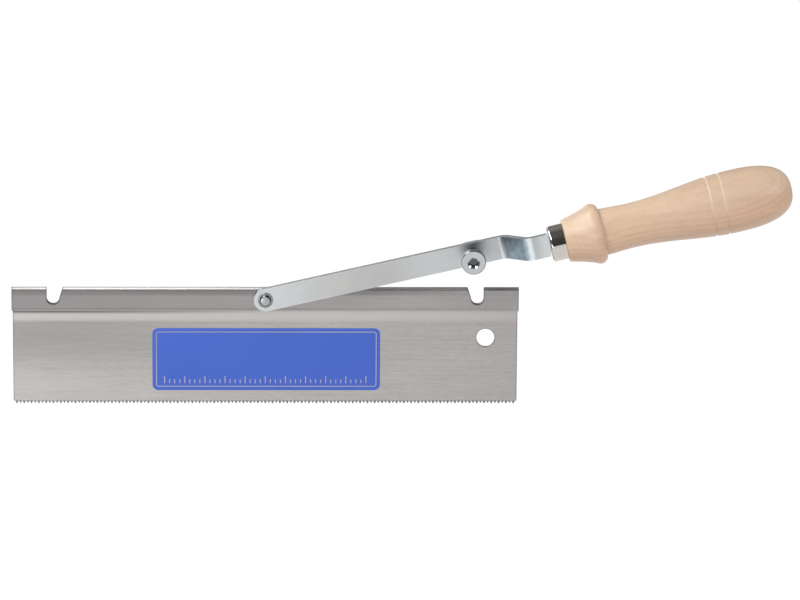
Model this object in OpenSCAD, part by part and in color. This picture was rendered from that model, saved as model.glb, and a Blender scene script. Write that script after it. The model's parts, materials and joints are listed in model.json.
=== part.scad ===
// Back saw with a cranked handle that swings over from one end of the blade to the other.
// The tooth line runs along X and points down, the swivel axis runs along Y, and Z is up.
// The origin is in the middle of the tooth line, at the tooth tips and in the blade's mid-plane.

/* [Blade] */
// Length of the blade along its tooth line
blade_len = 250; // [200:1:300]
// Thickness of the blade
blade_t = 0.8; // [0.5:0.1:1.2]
// Height from the tooth tips to the top of the back
saw_h = 60; // [50:1:80]
// Teeth per inch of tooth line
teeth_per_inch = 14; // [10:1:20]
// Depth of a tooth from tip to gullet
tooth_depth = 1.6; // [0.8:0.1:1.8]
// Diameter of the hanging hole
hang_hole_d = 9; // [6:0.5:12]
// Distance from the blade's end to the middle of the hanging hole
hang_hole_in = 15.8; // [10:0.1:30]
// Distance from the back's lower edge down to the middle of the hanging hole
hang_hole_drop = 13.8; // [8:0.1:25]

/* [Back] */
// Height of the folded back
back_h = 12; // [10:0.5:16]
// Thickness of the back's sheet on each side of the blade
back_wall = 1.2; // [0.8:0.1:2]
// How far the back runs past each end of the blade
back_overhang = 0.5; // [0:0.1:2]
// Space between the blade's upper edge and the inside of the fold
fold_gap = 0.4; // [0.1:0.1:1]
// Distance from the middle of a notch to the blade's end
notch_in = 20; // [14:0.5:30]
// How much wider a notch is at its mouth than at its seat
notch_flare = 1.8; // [0.5:0.1:4]
// Room between the clamp screw and its seat in a notch
notch_clear = 0.15; // [0.1:0.05:0.5]

/* [Swivel] */
// Distance from the top of the back down to the swivel axis
pivot_drop = 5.4; // [4.5:0.1:7]
// Diameter of the swivel rivet's shank
rivet_d = 4; // [3:0.1:5]
// Diameter of the rivet's front head
rivet_head_d = 5.8; // [5.5:0.1:9]
// Height of the rivet's front head
rivet_head_h = 1.3; // [0.8:0.1:2]
// Diameter of the rivet's rear head
rivet_tail_d = 7.5; // [6:0.1:9]
// Height of the rivet's rear head
rivet_tail_h = 1.1; // [0.6:0.1:2]
// Outside diameter of the washer under the rivet's front head
rivet_washer_d = 7.6; // [7:0.1:11]
// Outside diameter of the washer between the arm and the back
pivot_washer_d = 10; // [7:0.1:11]
// Thickness of both washers
pivot_washer_t = 0.5; // [0.3:0.1:1]
// Room around the rivet in every hole that it fills
rivet_fit = 0.05; // [0.02:0.01:0.1]
// Room between the arm and the washer on each side of it
swivel_play = 0.05; // [0.02:0.01:0.1]

/* [Arm] */
// Width of the flat bar
arm_w = 11.4; // [9:0.1:15]
// Thickness of the flat bar
arm_t = 3; // [2:0.1:5]
// Angle of the arm above the back as the part is stored
arm_tilt = 13; // [10:0.5:40]
// Distance from the clamp screw to the first bend of the crank
crank_in = 16.5; // [13:0.1:30]
// How far the crank sets the handle off from the arm
crank_offset = 15.5; // [8:0.5:25]
// Angle of the crank's sloping part
crank_angle = 54; // [30:1:60]
// Angle by which the neck and the handle lean back towards the blade
handle_lean = 3; // [0:0.5:6]
// Inside radius of the crank's bends
bend_r = 4; // [1:0.1:5]
// Length of bar from the crank's second bend to the ferrule
neck_len = 10.1; // [6:0.1:30]
// Width of the tang where it enters the handle
tang_w = 7; // [5:0.1:9]
// Width of the tang at its tip
tang_tip_w = 4; // [2:0.1:5]
// Length of the tang
tang_len = 60; // [40:1:80]
// Room around the tang
tang_fit = 0.1; // [0.05:0.05:0.3]

/* [Ferrule] */
// Outside diameter of the ferrule
ferrule_d = 17.8; // [15:0.1:20]
// Length of the ferrule
ferrule_len = 8; // [6:0.1:15]
// Wall of the ferrule
ferrule_wall = 0.8; // [0.5:0.1:1.5]
// Room between the ferrule and the handle's spigot
ferrule_fit = 0.05; // [0.02:0.01:0.2]

/* [Handle] */
// Length of the wood behind the ferrule
grip_len = 114.2; // [105:0.1:140]
// Diameter of the wood at the ferrule
shoulder_d = 21.2; // [20.2:0.1:25]
// Bevel on the edge of the wood at the ferrule
shoulder_bevel = 0.5; // [0.2:0.1:0.8]
// Angle at which the cone leaves the ferrule
cone_angle = 12.5; // [8:0.5:18]
// Angle at which the cone reaches the collar
collar_rise = 26.5; // [22:0.5:40]
// Diameter of the collar
collar_d = 30; // [28:0.1:34]
// Radius of the collar's rounded rim
collar_r = 3.7; // [2:0.1:4.5]
// Distance from the ferrule to the middle of the collar
collar_at = 15.2; // [12:0.1:18]
// Diameter of the wood just behind the collar
foot_d = 23; // [22:0.1:25]
// Diameter of the waist
waist_d = 21.9; // [20:0.1:25]
// Distance from the ferrule to the waist
waist_at = 33; // [25:0.5:40]
// Diameter of the belly
belly_d = 30.8; // [27:0.1:36]
// Distance from the ferrule to the belly
belly_at = 84.5; // [75:0.5:95]
// Roundness of the end, where 2 is an ellipse and more is squarer
end_power = 2.7; // [2:0.1:4]
// Distance from the ferrule to the first turned groove
groove_at = 73.3; // [60:0.1:85]
// Distance between the two turned grooves
groove_step = 6.5; // [3:0.1:10]
// Width of a groove
groove_w = 1.1; // [0.4:0.1:1.5]
// Depth of a groove
groove_depth = 0.45; // [0.2:0.05:0.6]

/* [Clamp screw] */
// Outside diameter of the thread
screw_d = 6; // [5:0.5:7]
// Distance between turns of the thread
thread_pitch = 1; // [0.8:0.1:1.25]
// Depth of the thread
thread_depth = 0.55; // [0.4:0.05:0.7]
// Turns from loose, as the part is stored, to tight
screw_turns = 12; // [8:1:14]
// How far the clamp plate is drawn forward by those turns
plate_travel = 0.3; // [0.1:0.1:1]
// Room left at the arm and at the back when the screw is tight
stop_gap = 0.05; // [0.02:0.01:0.2]
// Thread that stands out behind the clamp plate as the part is stored
tip_past_plate = 2.45; // [1:0.05:4]
// Diameter of the screw's head
head_d = 12.2; // [11:0.1:14]
// Height of the screw's head
head_h = 3.4; // [3:0.1:5]
// Width across the flats of the hexagon socket
socket_af = 4; // [3:0.5:5]
// Depth of the hexagon socket
socket_depth = 2.2; // [1.5:0.1:2.6]
// Diameter of the bevelled lead-in of the socket
socket_lead_d = 6.4; // [6.2:0.1:8]
// Depth of the bevelled lead-in of the socket
socket_lead_depth = 0.6; // [0.3:0.1:1]
// Bevel on the outer edge of the head and at the end of the thread
edge_bevel = 0.4; // [0.2:0.1:0.6]
// Outside diameter of the washer under the head
head_washer_d = 12; // [11:0.1:14]
// Thickness of the washer under the head
head_washer_t = 1.2; // [0.8:0.1:2]
// Room around the screw in the arm and in the washer
screw_clear = 0.2; // [0.1:0.05:0.4]
// Room between the thread's crests and the clamp plate
thread_fit = 0.05; // [0.02:0.01:0.1]
// Length of the clamp plate, which bridges the notch
plate_len = 14; // [12:0.5:20]
// Width of the clamp plate
plate_w = 8.5; // [8:0.1:11]
// Thickness of the clamp plate
plate_t = 2.5; // [2:0.1:4]

/* [Hidden] */
$fn = 96;
mm_per_inch = 25.4;
cut_over = 1;
curve_steps = 16;
bend_steps = 12;

// Places along the height
pivot_z = saw_h - pivot_drop;
back_low_z = saw_h - back_h;

// Places along the thickness, from the back to the rivet's front head, with the front at -Y
back_half = blade_t / 2 + back_wall;
arm_rear_y = -back_half - pivot_washer_t - swivel_play;
arm_front_y = arm_rear_y - arm_t;
rivet_washer_y = arm_front_y - swivel_play;
rivet_seat_y = rivet_washer_y - pivot_washer_t;

// Places along the arm, from the swivel axis
clamp_r = blade_len / 2 - notch_in;
crank_at = clamp_r + crank_in;
bend_set = (bend_r + arm_t / 2) * tan(crank_angle / 2);
crank_run = crank_offset / tan(crank_angle);
first_centre = [crank_at - bend_set, -arm_t - bend_r];
second_centre = [crank_at + crank_run + bend_set, bend_r - crank_offset];
neck_run = neck_len - bend_set;
tang_root = neck_len / 4;

// Clamp screw, stored loose
head_travel = screw_turns * thread_pitch - plate_travel;
head_washer_y = arm_front_y - stop_gap - head_travel;
head_y = head_washer_y - head_washer_t;
plate_front_y = back_half + stop_gap + plate_travel;
screw_len = plate_front_y + plate_t + tip_past_plate - head_y;
thread_turns = floor((screw_len - edge_bevel) / thread_pitch) - 1;

// Teeth
tooth_pitch = mm_per_inch / teeth_per_inch;
tooth_count = floor(blade_len / tooth_pitch);
teeth_half = tooth_count * tooth_pitch / 2;

// Handle profile, as [radius, distance from the ferrule's front]
spigot_r = ferrule_d / 2 - ferrule_wall - ferrule_fit;
rim_centre_r = collar_d / 2 - collar_r;
rim_start = 90 + collar_rise;
rim_end = asin(max(-1, (foot_d / 2 - rim_centre_r) / collar_r));
function ease(a, b, t) = a + (b - a) * (1 - cos(180 * t)) / 2;
function on_wood(r, h) = [r, ferrule_len + h];
function rim_point(angle) =
    on_wood(rim_centre_r + collar_r * sin(angle), collar_at + collar_r * cos(angle));
function eased_point(r_from, h_from, r_to, h_to, t) =
    on_wood(ease(r_from, r_to, t), h_from + (h_to - h_from) * t);
function end_point(t) =
    on_wood(belly_d / 2 * pow(cos(90 * t), 2 / end_power),
            belly_at + (grip_len - belly_at) * pow(sin(90 * t), 2 / end_power));
foot_at = collar_at + collar_r * cos(rim_end);
cone_start = on_wood(shoulder_d / 2, shoulder_bevel);
cone_end = rim_point(rim_start);
cone_fall = cone_end.x - cone_start.x + cone_start.y * tan(cone_angle) - cone_end.y * tan(collar_rise);
cone_bend_h = cone_fall / (tan(cone_angle) - tan(collar_rise));
cone_bend = [cone_start.x + (cone_bend_h - cone_start.y) * tan(cone_angle), cone_bend_h];
function cone_point(t) = pow(1 - t, 2) * cone_start + 2 * t * (1 - t) * cone_bend + t * t * cone_end;
handle_profile = concat(
    [[0, ferrule_wall], [spigot_r, ferrule_wall], [spigot_r, ferrule_len]],
    [on_wood(shoulder_d / 2 - shoulder_bevel, 0)],
    [for (i = [0:curve_steps - 1]) cone_point(i / curve_steps)],
    [for (i = [0:curve_steps]) rim_point(rim_start + (rim_end - rim_start) * i / curve_steps)],
    [for (i = [1:curve_steps]) eased_point(foot_d / 2, foot_at, waist_d / 2, waist_at, i / curve_steps)],
    [for (i = [1:curve_steps]) eased_point(waist_d / 2, waist_at, belly_d / 2, belly_at, i / curve_steps)],
    [for (i = [1:curve_steps - 1]) end_point(i / curve_steps)],
    [on_wood(0, grip_len)]
);

// A disc or ring on the swivel or screw axis that stands forward from the plane y
module ring_y(y, outer_d, inner_d, t) {
    translate([0, y, 0])
        rotate([90, 0, 0])
            difference() {
                cylinder(d = outer_d, h = t);
                translate([0, 0, -cut_over])
                    cylinder(d = inner_d, h = t + 2 * cut_over);
            }
}

// The frame that swings with the arm: X runs along the arm from the swivel axis
module at_arm() {
    translate([0, 0, pivot_z])
        rotate([0, -arm_tilt, 0])
            children();
}

// The screw's axis, in the frame that swings with the arm
module at_clamp() {
    at_arm()
        translate([clamp_r, 0, 0])
            children();
}

// The neck: X runs along it from the centre of the second bend, and its rear face is at -bend_r
module at_neck() {
    at_arm()
        translate([second_centre.x, arm_rear_y + second_centre.y, 0])
            rotate([0, 0, handle_lean])
                children();
}

// The handle's axis, with Z running back from the front of the ferrule
module at_handle() {
    at_neck()
        translate([neck_run, -bend_r - arm_t / 2, 0])
            rotate([0, 90, 0])
                children();
}

// A long hole along Y for the rivet or the screw
module hole_y(d) {
    reach = blade_len;
    rotate([90, 0, 0])
        cylinder(d = d, h = reach, center = true);
}

// One notch in front view: a round seat under a mouth that flares towards the swivel axis
module notch_outline() {
    seat_r = screw_d / 2 + notch_clear;
    mouth_z = saw_h + cut_over;
    flare = notch_flare * (mouth_z - pivot_z) / (saw_h - pivot_z);
    translate([clamp_r, pivot_z])
        circle(r = seat_r);
    polygon([
        [clamp_r - seat_r, pivot_z],
        [clamp_r + seat_r, pivot_z],
        [clamp_r + seat_r, mouth_z],
        [clamp_r - seat_r - flare, mouth_z]
    ]);
}

// Both notches and the rivet's hole, cut through the blade and its back alike
module back_cuts() {
    cut_w = 4 * back_half;
    for (side = [0, 1])
        mirror([side, 0, 0])
            rotate([90, 0, 0])
                linear_extrude(height = cut_w, center = true)
                    notch_outline();
    translate([0, 0, pivot_z])
        hole_y(rivet_d + 2 * rivet_fit);
}

// The blade's front view, with its row of teeth along the bottom
module blade_outline() {
    top_z = saw_h - back_wall - fold_gap;
    half = blade_len / 2;
    polygon(concat(
        [[half, top_z], [-half, top_z], [-half, tooth_depth]],
        [for (i = [0:tooth_count - 1], step = [0, 0.5])
            [-teeth_half + (i + step) * tooth_pitch, step > 0 ? 0 : tooth_depth]],
        [[teeth_half, tooth_depth], [half, tooth_depth]]
    ));
}

module blade() {
    color("#aca8a5")
        difference() {
            rotate([90, 0, 0])
                linear_extrude(height = blade_t, center = true)
                    blade_outline();
            back_cuts();
            translate([blade_len / 2 - hang_hole_in, 0, back_low_z - hang_hole_drop])
                hole_y(hang_hole_d);
        }
}

// End view of a strip folded over at the top, as thick as twice its half
module fold_outline(half) {
    top = saw_h - back_half;
    translate([-half, back_low_z])
        square([2 * half, top - back_low_z]);
    translate([0, top])
        circle(r = half);
}

module back() {
    length = blade_len + 2 * back_overhang;
    color("#9a9695")
        difference() {
            rotate([90, 0, 90])
                linear_extrude(height = length, center = true)
                    difference() {
                        fold_outline(back_half);
                        fold_outline(blade_t / 2);
                    }
            back_cuts();
        }
}

// The rivet stands on its rear head, with a bevelled front head
module pivot_rivet() {
    bevel = rivet_head_h / 2;
    flat_d = rivet_head_d - 2 * bevel;
    shank_len = back_half - rivet_seat_y;
    color("#c9cbcc")
        translate([0, back_half, pivot_z])
            rotate([90, 0, 0]) {
                translate([0, 0, -rivet_tail_h])
                    cylinder(d1 = rivet_tail_d - 2 * rivet_tail_h, d2 = rivet_tail_d, h = rivet_tail_h);
                cylinder(d = rivet_d, h = shank_len);
                translate([0, 0, shank_len])
                    cylinder(d = rivet_head_d, h = rivet_head_h - bevel);
                translate([0, 0, shank_len + rivet_head_h - bevel])
                    cylinder(d1 = rivet_head_d, d2 = flat_d, h = bevel);
            }
}

module pivot_washer() {
    color("#b4b6b8")
        translate([0, 0, pivot_z])
            ring_y(-back_half, pivot_washer_d, rivet_d + 2 * rivet_fit, pivot_washer_t);
}

module rivet_washer() {
    color("#c2c4c6")
        translate([0, 0, pivot_z])
            ring_y(rivet_washer_y, rivet_washer_d, rivet_d + 2 * rivet_fit, pivot_washer_t);
}

// Points round one bend of the crank, on the circle of radius r about the bend's centre
function bend_points(centre, r, from_angle, to_angle) =
    [for (i = [0:bend_steps])
        let (angle = from_angle + (to_angle - from_angle) * i / bend_steps)
            centre + r * [cos(angle), sin(angle)]];

// A point on the end of the neck, at a distance y in front of or behind the second bend's centre
function neck_end(y) =
    second_centre + neck_run * [cos(handle_lean), sin(handle_lean)]
    + y * [-sin(handle_lean), cos(handle_lean)];

// The cranked bar seen along its width, with its rear face on y = 0 up to the first bend
module bar_outline() {
    outer_r = bend_r + arm_t;
    polygon(concat(
        [[0, 0]],
        bend_points(first_centre, outer_r, 90, 90 - crank_angle),
        bend_points(second_centre, bend_r, 270 - crank_angle, 270 + handle_lean),
        [neck_end(-bend_r), neck_end(-outer_r)],
        bend_points(second_centre, outer_r, 270 + handle_lean, 270 - crank_angle),
        bend_points(first_centre, bend_r, 90 - crank_angle, 90),
        [[0, -arm_t]]
    ));
}

// The tang, or with room around it the slot that it fills
module tang_shape(room, start) {
    rotate([90, 0, 0])
        translate([0, 0, -room])
            linear_extrude(height = arm_t + 2 * room)
                polygon([
                    [start, -tang_w / 2 - room],
                    [tang_len + room, -tang_tip_w / 2 - room],
                    [tang_len + room, tang_tip_w / 2 + room],
                    [start, tang_w / 2 + room]
                ]);
}

// Places the tang, or its slot, behind the ferrule's front face
module at_tang() {
    at_neck()
        translate([neck_run, -bend_r, 0])
            children();
}

module arm() {
    color("#bec3c5") {
        difference() {
            at_arm()
                translate([0, arm_rear_y, 0]) {
                    rotate([90, 0, 0])
                        cylinder(d = arm_w, h = arm_t);
                    linear_extrude(height = arm_w, center = true)
                        bar_outline();
                }
            at_arm()
                hole_y(rivet_d + 2 * rivet_fit);
            at_clamp()
                hole_y(screw_d + 2 * screw_clear);
        }
        at_tang()
            tang_shape(0, -tang_root);
    }
}

module ferrule() {
    color("#b9b6b3")
        difference() {
            at_handle()
                difference() {
                    cylinder(d = ferrule_d, h = ferrule_len);
                    translate([0, 0, ferrule_wall])
                        cylinder(d = ferrule_d - 2 * ferrule_wall, h = ferrule_len);
                }
            at_tang()
                tang_shape(tang_fit, -tang_root);
        }
}

// A turned groove, as a ring of triangular section that meets the wood's surface
module turned_groove(h) {
    rise = (h - waist_at) / (belly_at - waist_at);
    surface_r = ease(waist_d / 2, belly_d / 2, min(1, rise));
    rotate_extrude()
        polygon([
            on_wood(surface_r - groove_depth, h),
            on_wood(surface_r + groove_depth, h - groove_w),
            on_wood(surface_r + groove_depth, h + groove_w)
        ]);
}

module handle() {
    color("#dcb894")
        difference() {
            at_handle()
                difference() {
                    rotate_extrude()
                        polygon(handle_profile);
                    turned_groove(groove_at);
                    turned_groove(groove_at + groove_step);
                }
            at_tang()
                tang_shape(tang_fit, -tang_root);
        }
}

// The thread, as a row of rings under the head with a bevelled tip
module thread() {
    crest_r = screw_d / 2;
    root_r = crest_r - thread_depth;
    plain_len = screw_len - thread_turns * thread_pitch;
    rotate_extrude()
        polygon(concat(
            [[0, 0], [crest_r, 0], [crest_r, plain_len - edge_bevel], [root_r, plain_len - edge_bevel / 2]],
            [for (i = [0:thread_turns - 1], step = [0.5, 1])
                [step < 1 ? crest_r : root_r, plain_len + (i + step) * thread_pitch - edge_bevel / 2]],
            [[root_r, screw_len], [0, screw_len]]
        ));
}

module clamp_screw() {
    socket_d = socket_af / cos(30);
    color("#c6c8ca")
        at_clamp() {
            translate([0, head_y, 0])
                rotate([-90, 0, 0])
                    thread();
            translate([0, head_y, 0])
                rotate([90, 0, 0])
                    difference() {
                        union() {
                            cylinder(d = head_d, h = head_h - edge_bevel);
                            translate([0, 0, head_h - edge_bevel])
                                cylinder(d1 = head_d, d2 = head_d - 2 * edge_bevel, h = edge_bevel);
                        }
                        translate([0, 0, head_h - socket_depth])
                            cylinder(d = socket_d, h = socket_depth + cut_over, $fn = 6);
                        translate([0, 0, head_h - socket_lead_depth])
                            cylinder(d1 = socket_af, d2 = socket_lead_d, h = socket_lead_depth);
                    }
        }
}

module head_washer() {
    color("#bcbec0")
        at_clamp()
            ring_y(head_washer_y, head_washer_d, screw_d + 2 * screw_clear, head_washer_t);
}

// A tapped plate with round ends, which bridges the notch from behind
module clamp_plate() {
    end_at = (plate_len - plate_w) / 2;
    color("#bfc1c3")
        at_clamp()
            translate([0, plate_front_y, 0])
                rotate([-90, 0, 0])
                    difference() {
                        union() {
                            translate([-end_at, -plate_w / 2, 0])
                                cube([2 * end_at, plate_w, plate_t]);
                            for (side = [-1, 1])
                                translate([side * end_at, 0, 0])
                                    cylinder(d = plate_w, h = plate_t);
                        }
                        translate([0, 0, -cut_over])
                            cylinder(d = screw_d + 2 * thread_fit, h = plate_t + 2 * cut_over);
                    }
}

blade();
back();
pivot_rivet();
pivot_washer();
rivet_washer();
arm();
ferrule();
handle();
clamp_screw();
head_washer();
clamp_plate();
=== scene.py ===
# %% [markdown]
# # A fine back saw with a handle that swings over
# This lesson dresses the saw for a studio picture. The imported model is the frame: it holds each
# piece at its real size and place, in metres, and every mesh made here is built around it. The
# saw's row of teeth runs along X, the viewer stands at -Y, and Z is up.

# %% Load the frame
import json
import math

import bmesh
import bpy
from mathutils import Euler, Matrix, Quaternion, Vector


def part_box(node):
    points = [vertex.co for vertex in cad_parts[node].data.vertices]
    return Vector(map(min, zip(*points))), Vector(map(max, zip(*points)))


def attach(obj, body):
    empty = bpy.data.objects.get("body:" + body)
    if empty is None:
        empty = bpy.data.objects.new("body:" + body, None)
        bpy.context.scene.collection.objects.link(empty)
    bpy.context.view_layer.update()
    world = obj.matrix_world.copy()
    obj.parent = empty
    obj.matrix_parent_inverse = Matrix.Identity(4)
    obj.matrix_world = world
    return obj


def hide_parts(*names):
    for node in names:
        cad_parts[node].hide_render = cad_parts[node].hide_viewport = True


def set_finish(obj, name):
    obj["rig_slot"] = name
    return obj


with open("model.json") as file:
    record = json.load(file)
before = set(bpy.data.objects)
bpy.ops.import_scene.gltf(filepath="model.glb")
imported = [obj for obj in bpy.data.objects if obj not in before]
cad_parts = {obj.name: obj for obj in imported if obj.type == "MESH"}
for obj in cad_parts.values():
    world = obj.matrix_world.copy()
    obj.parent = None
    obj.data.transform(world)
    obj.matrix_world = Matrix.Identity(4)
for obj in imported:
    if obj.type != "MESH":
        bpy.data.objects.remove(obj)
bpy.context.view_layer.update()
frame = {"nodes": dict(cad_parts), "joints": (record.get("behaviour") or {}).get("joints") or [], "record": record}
record = frame["record"]
print("nodes:", ", ".join(sorted(frame["nodes"])))

# %% [markdown]
# ## Sizes that everything hangs on
# The joints in the frame say where the arm swivels and where the clamp screw stands. Most places
# follow from these two and from the boxes of the nodes, so they are read and not typed again: a
# number that stands in one place only can't disagree with itself. The arm is stored a few degrees
# above its right-hand notch, and the lower limit of its joint is that angle.

# %% Read the driving sizes
MM = 0.001
JOINTS = {joint["name"]: joint for joint in frame["joints"]}
PIVOT_Z = JOINTS["handle_swivel"]["pos_m"][2]
TILT = math.radians(-JOINTS["handle_swivel"]["range_deg"][0])
CLAMP = Vector(JOINTS["screw_turn"]["pos_m"])
CLAMP_R = (CLAMP - Vector((0, 0, PIVOT_Z))).length
BLADE_LOW, BLADE_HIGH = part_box("blade")
BACK_LOW, BACK_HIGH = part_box("back")
print(f"arm tilt {math.degrees(TILT):.1f} degrees, clamp radius {CLAMP_R / MM:.2f} mm")

# %% [markdown]
# ## Camera
# The photograph was taken with a long lens, from a little above and a touch to the left, so far-off
# edges hardly draw together. A camera could be moved and turned by hand until the picture fits.
# Here it aims at the middle of the picture and stands back along a line given by two angles, so
# each number has one visible effect. It also rolls by a fraction of a degree, which keeps the row
# of teeth level.

# %% Set the camera
LENS = 270.0
AIM = Vector((66.69, 0.0, 53.4)) * MM
STAND_OFF = 2972.6 * MM
YAW = math.radians(-1.33)
RISE = math.radians(15.31)
ROLL = math.radians(0.39)


def aim_camera():
    """Adds the camera that looks at AIM from the photograph's side."""
    back = Vector((math.sin(YAW) * math.cos(RISE), -math.cos(YAW) * math.cos(RISE), math.sin(RISE)))
    bpy.ops.object.camera_add(location=AIM + back * STAND_OFF)
    camera = bpy.context.object
    camera.data.lens = LENS
    camera.rotation_mode = "QUATERNION"
    camera.rotation_quaternion = (-back).to_track_quat("-Z", "Y") @ Quaternion((0, 0, 1), ROLL)
    camera.data.clip_end = 100
    bpy.context.scene.camera = camera
    return camera


camera = aim_camera()
print("camera at", [round(x, 3) for x in camera.location])

# %% [markdown]
# ## Tools of the bench
# Operators act on whatever is selected, so each step begins by putting everything down. In edit
# mode, parts of a mesh are then picked by where they lie, as one would point at them with the
# mouse. Meshes could also be written as lists of numbers, but operators are what a modeller uses by
# hand, and each step stays readable.

# %% Selecting and editing
NEAR = 2e-6


def near(a, b):
    """True where two lengths are the same, apart from rounding."""
    return abs(a - b) < NEAR


def deselect_all():
    """Leaves edit mode and lets go of everything."""
    if bpy.context.mode != "OBJECT":
        bpy.ops.object.mode_set(mode="OBJECT")
    bpy.ops.object.select_all(action="DESELECT")


def hold(piece):
    """Makes one piece the only one that operators act on."""
    deselect_all()
    piece.select_set(True)
    bpy.context.view_layer.objects.active = piece


def edit(piece):
    """Opens one piece in edit mode."""
    hold(piece)
    bpy.ops.object.mode_set(mode="EDIT")


def pick(kind, test):
    """In edit mode, selects the vertices, edges or faces whose corners all pass the test."""
    bpy.ops.mesh.select_mode(type=kind)
    bpy.ops.mesh.select_all(action="DESELECT")
    mesh = bmesh.from_edit_mesh(bpy.context.object.data)
    parts = {"VERT": mesh.verts, "EDGE": mesh.edges, "FACE": mesh.faces}[kind]
    for part in parts:
        corners = [part] if kind == "VERT" else part.verts
        if all(test(corner.co) for corner in corners):
            part.select_set(True)
    mesh.select_flush_mode()
    bmesh.update_edit_mesh(bpy.context.object.data)


def extrude(step):
    """Draws the picked edges or faces out by a step."""
    bpy.ops.mesh.extrude_region_move(TRANSFORM_OT_translate={"value": step})


def shift(step):
    """Moves what is picked by a step."""
    bpy.ops.transform.translate(value=step)


def spin(angle, centre, axis, steps):
    """Sweeps what is picked round an axis. The operator counts clockwise, so the sign is turned for it."""
    bpy.ops.mesh.spin(steps=steps, angle=-angle, center=centre, axis=axis)


print("bench tools ready")

# %% Modifiers and cuts
SHARP_ANGLE = math.radians(40)


def modify(piece, kind, **settings):
    """Adds a modifier, sets it and applies it."""
    hold(piece)
    bpy.ops.object.modifier_add(type=kind)
    modifier = piece.modifiers[-1]
    for name, value in settings.items():
        setattr(modifier, name, value)
    bpy.ops.object.modifier_apply(modifier=modifier.name)


def combine(piece, other, operation="DIFFERENCE"):
    """Cuts the other shape out of a piece, or joins it on, and throws the other shape away."""
    modify(piece, "BOOLEAN", object=other, operation=operation, solver="EXACT")
    bpy.data.objects.remove(other)


def soften(piece, width):
    """Rounds the sharp edges, as stamping and tumbling do."""
    modify(piece, "BEVEL", width=width, segments=2, limit_method="ANGLE", angle_limit=SHARP_ANGLE)


print(f"edges over {math.degrees(SHARP_ANGLE):.0f} degrees count as sharp")

# %% Places and sheets
FRONT = Euler((math.pi / 2, 0, 0))


def at(location, turn=FRONT, scale=None):
    """A place as a matrix. Unless told otherwise, a piece's own Z is turned to the viewer there."""
    return Matrix.LocRotScale(Vector(location), turn, None if scale is None else Vector(scale))


def place(piece, spot):
    """Takes a piece that was made at the origin to its place, and puts that place into its mesh."""
    piece.matrix_world = spot
    hold(piece)
    bpy.ops.object.transform_apply(location=True, rotation=True, scale=True)


def flat_sheet(name, low, high, y):
    """A sheet in the plane of the blade, from a low to a high corner (x, z), that faces the viewer."""
    deselect_all()
    bpy.ops.mesh.primitive_plane_add(size=1)
    sheet = bpy.context.object
    sheet.name = name
    middle = ((low[0] + high[0]) / 2, y, (low[1] + high[1]) / 2)
    place(sheet, at(middle, FRONT, (high[0] - low[0], high[1] - low[1], 1)))
    return sheet


print(f"a turn of {math.degrees(FRONT.x):.0f} degrees about X faces the viewer")

# %% The lathe
LATHE_STEPS = 96


def turned(name, profile):
    """Spins a line of (radius, height) points about Z, as on a lathe."""
    deselect_all()
    bpy.ops.mesh.primitive_plane_add(size=MM)
    piece = bpy.context.object
    piece.name = name
    bpy.ops.object.mode_set(mode="EDIT")
    bpy.ops.mesh.select_all(action="SELECT")
    bpy.ops.mesh.merge(type="CENTER")
    shift((profile[0][0], 0, profile[0][1]))
    for (r, h), (next_r, next_h) in zip(profile, profile[1:]):
        bpy.ops.mesh.extrude_vertices_move(TRANSFORM_OT_translate={"value": (next_r - r, 0, next_h - h)})
    bpy.ops.mesh.select_all(action="SELECT")
    spin(2 * math.pi, (0, 0, 0), (0, 0, 1), LATHE_STEPS)
    bpy.ops.mesh.select_all(action="SELECT")
    bpy.ops.mesh.remove_doubles(threshold=NEAR)
    bpy.ops.mesh.normals_make_consistent(inside=False)
    bpy.ops.object.mode_set(mode="OBJECT")
    return piece


print("the lathe takes", LATHE_STEPS, "steps to the turn")

# %% [markdown]
# ## Handing a piece over
# A finished piece rides on a body of the frame, stands for a node of the frame and takes that
# node's finish. The record knows the body and the slot of each node, so one function does all
# three. It also measures how far the piece's box departs from the node's box.

# %% Hand a piece over
SMOOTH_ANGLE = math.radians(32)
BODY_OF = {node: body for body, nodes in record["behaviour"]["bodies"].items() for node in nodes}
SLOT_OF = {part["node"]: part["material_slot"] for part in record["subparts"]}
PIECES = []


def hand_over(piece, node):
    """Smooths a finished piece, ties it to its body and slot, hides its node and says how well it fits."""
    hold(piece)
    bpy.ops.object.shade_smooth_by_angle(angle=SMOOTH_ANGLE)
    modify(piece, "WEIGHTED_NORMAL", keep_sharp=True)
    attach(piece, BODY_OF[node])
    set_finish(piece, SLOT_OF[node])
    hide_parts(node)
    PIECES.append(piece)
    corners = [Vector(corner) for corner in piece.bound_box]
    low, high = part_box(node)
    gaps = [min(c[i] for c in corners) - low[i] for i in range(3)]
    gaps += [max(c[i] for c in corners) - high[i] for i in range(3)]
    print(f"{piece.name}: {len(piece.data.polygons)} faces, box off by {max(map(abs, gaps)) / MM:.3f} mm")


print("bodies:", sorted(set(BODY_OF.values())))

# %% [markdown]
# ## Cutters for the notches and holes
# The clamp screw drops into a notch at either end of the back. A notch has a round seat, one
# upright wall and one that slants, so that the screw finds its way in. Its outline could be drawn
# point by point, but half a cylinder already has the seat: the flat top of the half is drawn up
# past the back and one of its edges is pushed sideways. Round holes get cutters from the lathe,
# whose ends flare a little and so break the hole's sharp lip.

# %% Make the cutter for a notch
NOTCH_R = 3.15 * MM
NOTCH_FLARE = 1.8 * MM
NOTCH_STEPS = 64
CUT_DEPTH = 8 * MM


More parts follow.
